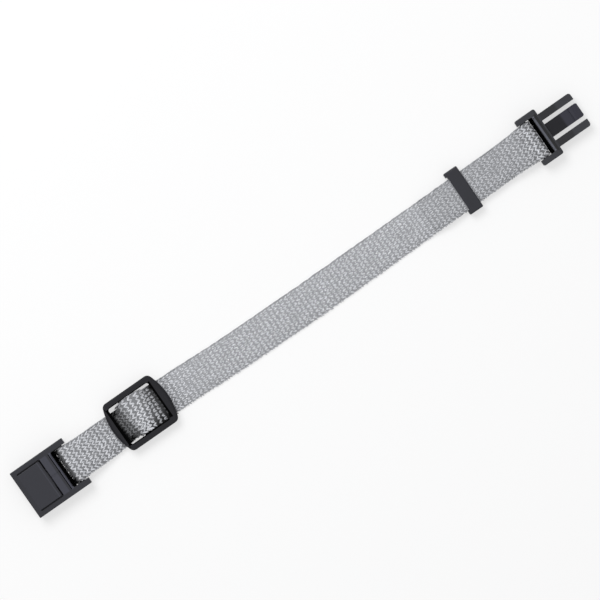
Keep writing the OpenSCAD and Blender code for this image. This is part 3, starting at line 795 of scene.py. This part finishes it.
def moulded(name, node, material, shade_boxes=(), shape=None):
    """A CAD node's shape with its sharp edges rounded, as a moulding has them. The rounded rims
    are marked for the material, which makes them paler, partly as wear and partly as a painted
    highlight. Shade boxes are given by their ranges of u, side and height in millimetres: the
    faces in them get painted shade, a near-black plastic."""
    settings = bpy.context.scene.wrist_band_moulding
    made = finishes()
    data = frame["nodes"][node].data.copy()
    data.name = name
    data.materials.clear()
    for finish in (made[material], made["painted_shade_plastic"], made[material]):
        data.materials.append(finish)
    mesh = bmesh.new()
    mesh.from_mesh(data)
    bmesh.ops.remove_doubles(mesh, verts=mesh.verts, dist=1e-6)
    bmesh.ops.dissolve_limit(mesh, angle_limit=FLAT, verts=mesh.verts, edges=mesh.edges)
    if shape:
        shape(mesh)
    for (start, end), *_ in shade_boxes:
        for u in (start, end):
            bmesh.ops.bisect_plane(mesh, geom=mesh.verts[:] + mesh.edges[:] + mesh.faces[:],
                                   plane_co=(at(u), 0, 0), plane_no=(1, 0, 0))
    for face in mesh.faces:
        place = face.calc_center_median() - Vector((at(0), MIDDLE, 0))
        face.material_index = SHADE_SLOT * any(
            all(low <= value / MM <= high for value, (low, high) in zip(place, box))
            for box in shade_boxes)
    mesh.to_mesh(data)
    mesh.free()
    source = bpy.data.objects.new(name + "_sharp", data)
    bpy.context.scene.collection.objects.link(source)
    bevel = source.modifiers.new("edges", "BEVEL")
    bevel.width = settings.edge
    bevel.segments = 2
    bevel.material = RIM
    bevel.limit_method = "ANGLE"
    bevel.angle_limit = SHARP
    bevel.use_clamp_overlap = True
    piece = plain_copy(source, name)
    rim = piece.data.attributes.new("rim", "FLOAT", "FACE")
    for face in piece.data.polygons:
        rim.data[face.index].value = face.material_index == RIM
        face.material_index %= RIM
        face.use_smooth = False
    while len(piece.data.materials) > (RIM if shade_boxes else SHADE_SLOT):
        piece.data.materials.pop()
    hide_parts(node)
    return piece


# ---------------------------------------------------------------- operators


class BAND_OT_loop(bpy.types.Operator):
    """Knit the webbing from the sewn end round the socket's bar and over the adjuster"""

    bl_idname = "wrist_band.loop"
    bl_label = "Loop of Webbing"

    def execute(self, context):
        cuts = first, middle, last = 30, 37.7, 45
        past_bar = 0.016
        turn = LOOP.where(SOCKET_BAR, past_bar)
        out, back = ({u: LOOP.where(u, after) for u in cuts} for after in (past_bar, turn))
        piece = knit("webbing_socket_turn", [(LOOP, out[first], back[first])],
                     ["strap_socket_turn"])
        across(piece)
        piece = knit("webbing_loop", [(LOOP, out[middle], out[first]),
                                      (LOOP, back[first], back[middle])], ["strap_loop_far"])
        at(30.4)
        at(37.2)
        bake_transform(piece)
        piece = knit("webbing_loop_end", [(LOOP, out[last], out[middle]),
                                          (LOOP, back[middle], back[last])],
                     ["strap_loop_near"])
        across(piece)
        piece = knit("webbing_over_bar", [(LOOP, back[last], LOOP.length)], ["strap_over_bar"])
        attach(piece, "adjuster")
        piece = knit("webbing_sewn_end", [(LOOP, 0, out[last])], ["strap_anchor"])
        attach(piece, "adjuster")
        return {"FINISHED"}


class BAND_OT_run(bpy.types.Operator):
    """Knit the long run of webbing from the adjuster to the rise on its own free end"""

    bl_idname = "wrist_band.run"
    bl_label = "Long Run of Webbing"

    def execute(self, context):
        hinges = [(HINGES[f"bend_{i}"].x + HALF) / MM for i in range(1, 10)]
        keeper = (HINGES["bend_keeper"].x + HALF) / MM
        cuts = [(a + b) / 2 for a, b in zip(hinges, hinges[1:] + [keeper])]
        cuts = [0.0] + [RUN.where(u) for u in cuts]
        for i in range(9):
            piece = knit(f"webbing_run_{i + 1}", [(RUN, cuts[i], cuts[i + 1])],
                         [f"strap_run_{i + 1}"])
            across(piece)
        return {"FINISHED"}


class BAND_OT_tail(bpy.types.Operator):
    """Knit the two layers under the keeper, the turn round the plug's bar and the free end"""

    bl_idname = "wrist_band.tail"
    bl_label = "Tail of Webbing"

    def execute(self, context):
        cuts = rise, held, bend, last = 196.222, 206, 226, 237
        past_bar = RUN.where(PLUG_BAR) + 3 * MM
        top, tail = ({u: RUN.where(u, after) for u in ends}
                     for ends, after in ((cuts, 0), (cuts[2:], past_bar)))
        piece = knit("webbing_rise", [(RUN, top[rise], top[held])], ["strap_rise"])
        across(piece)
        piece = knit("webbing_keeper_run",
                     [(RUN, top[held], top[bend]), (RUN, tail[bend], RUN.length)],
                     ["strap_keeper_run"])
        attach(piece, "keeper_run")
        piece = knit("webbing_tail_bend",
                     [(RUN, top[bend], top[last]), (RUN, tail[last], tail[bend])],
                     ["strap_taper"])
        across(piece)
        piece = knit("webbing_plug_turn", [(RUN, top[last], tail[last])],
                     ["strap_plug_turn"])
        across(piece)
        return {"FINISHED"}


class BAND_OT_stitches(bpy.types.Operator):
    """Sew the loop's end with two rows of back stitches, through both layers"""

    bl_idname = "wrist_band.stitches"
    bl_label = "Sewn Rows"

    def execute(self, context):
        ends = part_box("anchor_stitches")
        per_row, gap, thread = 7, 2 * MM, 0.32 * MM
        underside = 0.014
        points = []
        for row in (0, 1):
            u = (ends[0].x + (0.18 + 1.1 * row) * MM + HALF) / MM
            for after, way in ((0, 1), (underside, -1)):
                q, = LOOP.places([LOOP.where(u, after)])
                face = q.face if q.face[2] * way > 0 else -q.face
                for i in range(per_row - 1):
                    v = (i + 1 - per_row / 2) * gap
                    points.append(Leg(q.point + q.side * v + face * 0.5 * MM, q.side, face,
                                      (1, 1, 1), 0.04, THREAD_ORDERS + len(points), 0.5, 1, 0))
        thread_size = {"Leg length": 2.2 * MM, "Leg width": thread, "Leg height": thread,
                       "Lean": 1.0, "Yarn": finishes()["sewing_thread"]}
        piece = grown("sewn_rows", bmesh.new(), [], points, thread_size)
        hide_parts("anchor_stitches")
        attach(piece, "adjuster")
        return {"FINISHED"}


class BAND_OT_socket(bpy.types.Operator):
    """Mould the socket and its release pad"""

    bl_idname = "wrist_band.socket"
    bl_label = "Socket"

    def execute(self, context):
        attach(moulded("socket_moulding", "socket_housing", "socket_plastic",
                        SOCKET_SHADE_BOXES), "socket")
        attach(moulded("release_pad", "release_tab", "pad_finish",
                        shape=self.close_hinge), "release_tab")
        return {"FINISHED"}

    def close_hinge(self, mesh):
        """Takes the pad's top right up to the housing, where it springs from it."""
        top = max(v.co.z for v in mesh.verts)
        edge = min(v.co.x for v in mesh.verts)
        near, high, reach, sink = 0.45 * MM, 0.3 * MM, 0.15 * MM, 0.01 * MM
        for v in mesh.verts:
            if v.co.x < edge + near and v.co.z > top - high:
                v.co.x = min(v.co.x, edge + 0.1 * MM) - reach
                v.co.z = top - sink


class BAND_OT_adjuster(bpy.types.Operator):
    """Mould the three-bar adjuster"""

    bl_idname = "wrist_band.adjuster"
    bl_label = "Adjuster"

    def execute(self, context):
        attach(moulded("adjuster_moulding", "slider_frame", "slider_finish",
                        ADJUSTER_SHADE_BOXES), "adjuster")
        return {"FINISHED"}


class BAND_OT_keeper(bpy.types.Operator):
    """Mould the keeper that holds the free end"""

    bl_idname = "wrist_band.keeper"
    bl_label = "Keeper"

    def execute(self, context):
        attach(moulded("keeper_moulding", "keeper_loop", "moulded_plastic"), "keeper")
        return {"FINISHED"}


class BAND_OT_plug(bpy.types.Operator):
    """Mould the plug and its springy tongue"""

    bl_idname = "wrist_band.plug"
    bl_label = "Plug"

    def execute(self, context):
        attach(moulded("plug_moulding", "plug_frame", "plug_plastic",
                        PLUG_SHADE_BOXES), "plug")
        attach(moulded("tongue_moulding", "latch_tongue", "tongue_plastic"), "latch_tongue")
        return {"FINISHED"}


# Half the floor's side, in metres
FLOOR_SIZE = 4.0
# How far the lamp is to the left of the view, up it and above the floor, and its diameter
LAMP_PLACE, LAMP_SIZE = (0.45, 0.5, 0.95), 0.7
# How far the middle of the view is to the left of the band's and up from it, in metres
VIEW_SHIFT = (0.0011, 0.0009)
# Width of the camera's sensor, in millimetres
SENSOR = 36


class BAND_OT_stage(bpy.types.Operator):
    """Set the floor, the even light, one soft lamp and the camera straight above"""

    bl_idname = "wrist_band.stage"
    bl_label = "Stage"

    def execute(self, context):
        scene = context.scene
        stage = scene.wrist_band_stage
        data = bpy.data.meshes.new("floor")
        data.from_pydata([(x * FLOOR_SIZE, y * FLOOR_SIZE, 0) for x, y in
                          ((-1, -1), (1, -1), (1, 1), (-1, 1))], [], [(0, 1, 2, 3)])
        floor = bpy.data.objects.new("floor", data)
        scene.collection.objects.link(floor)
        data.materials.append(self.floor_material(stage))
        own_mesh(floor)

        world = bpy.data.worlds.new("even_light")
        scene.world = world
        world.use_nodes = True
        graph = Graph(world.node_tree)
        strength = self.seen(graph) * (1 - stage.sky) + stage.sky
        graph.node("ShaderNodeOutputWorld", None, {"Surface": graph.node(
            "ShaderNodeBackground", None, {"Color": (1, 1, 1, 1), "Strength": strength})})

        turn = stage.turn
        right = Vector((math.cos(turn), -math.sin(turn), 0))
        up = Vector((math.sin(turn), math.cos(turn), 0))
        lamp_data = bpy.data.lights.new("soft_lamp", "AREA")
        lamp_data.shape, lamp_data.size, lamp_data.energy = "DISK", LAMP_SIZE, stage.lamp
        lamp = bpy.data.objects.new("soft_lamp", lamp_data)
        left, above, height = LAMP_PLACE
        lamp.location = -right * left + up * above + Vector((0, 0, height))
        lamp.rotation_euler = (-lamp.location).to_track_quat("-Z", "Y").to_euler()
        scene.collection.objects.link(lamp)

        camera_data = bpy.data.cameras.new("camera")
        camera_data.sensor_width = SENSOR
        camera_data.lens = SENSOR * stage.camera_height / stage.frame_width
        camera = bpy.data.objects.new("camera", camera_data)
        camera.location = (Vector((0, MIDDLE, stage.camera_height)) - right * VIEW_SHIFT[0]
                           + up * VIEW_SHIFT[1])
        camera.rotation_euler = (0, 0, -turn)
        scene.collection.objects.link(camera)
        scene.camera = camera
        scene.view_settings.view_transform = "Standard"
        return {"FINISHED"}

    def seen(self, graph):
        """1 for rays that show a surface or the sky as it is, 0 for those that light others."""
        path = graph.node("ShaderNodeLightPath").socket.node
        camera, glossy, through = (Wire(graph, path.outputs[f"Is {name} Ray"])
                                   for name in ("Camera", "Glossy", "Transmission"))
        return camera.math("MAXIMUM", camera, glossy.math("MAXIMUM", glossy, through))

    def floor_material(self, stage):
        """Pale floor that keeps the object's shadow and looks nearly white."""
        material = bpy.data.materials.new("pale_floor")
        material.use_nodes = True
        graph = Graph(material.node_tree)
        speck = grain(graph, 300)
        tint = blend_colours(graph, speck, colour(stage.floor, 0.99), colour(stage.floor))
        matt = graph.node("ShaderNodeBsdfDiffuse", None, {"Color": tint})
        glow = graph.node("ShaderNodeEmission", None, {"Color": (1, 1, 1, 1), "Strength": 1.0})
        both = graph.node("ShaderNodeMixShader", None,
                          {0: self.seen(graph) * stage.veil, 1: matt, 2: glow})
        graph.node("ShaderNodeOutputMaterial", None, {"Surface": both})
        return material


class BAND_PT_panel(bpy.types.Panel):
    """The wrist band's pieces, in the order in which they are made"""

    bl_idname = "BAND_PT_panel"
    bl_label = "Wrist Band"
    bl_space_type = "VIEW_3D"
    bl_region_type = "UI"
    bl_category = "Wrist Band"

    def draw(self, context):
        scene = context.scene
        for group in (scene.wrist_band_webbing, scene.wrist_band_moulding,
                      scene.wrist_band_stage):
            box = self.layout.box()
            for name in group.__annotations__:
                box.prop(group, name)
        for piece in PIECES:
            self.layout.operator(piece.bl_idname)


PIECES = (BAND_OT_loop, BAND_OT_run, BAND_OT_tail, BAND_OT_stitches, BAND_OT_socket,
          BAND_OT_adjuster, BAND_OT_keeper, BAND_OT_plug, BAND_OT_stage)
SETTINGS = {"wrist_band_webbing": WebbingSettings, "wrist_band_moulding": MouldingSettings,
            "wrist_band_stage": StageSettings}


def register():
    for cls in (*SETTINGS.values(), *PIECES, BAND_PT_panel):
        bpy.utils.register_class(cls)
    for name, cls in SETTINGS.items():
        setattr(bpy.types.Scene, name, PointerProperty(type=cls))


def unregister():
    for name in SETTINGS:
        delattr(bpy.types.Scene, name)
    for cls in reversed((*SETTINGS.values(), *PIECES, BAND_PT_panel)):
        bpy.utils.unregister_class(cls)


def main():
    register()
    for piece in PIECES:
        group, name = piece.bl_idname.split(".")
        getattr(getattr(bpy.ops, group), name)()


if __name__ == "__main__":
    main()
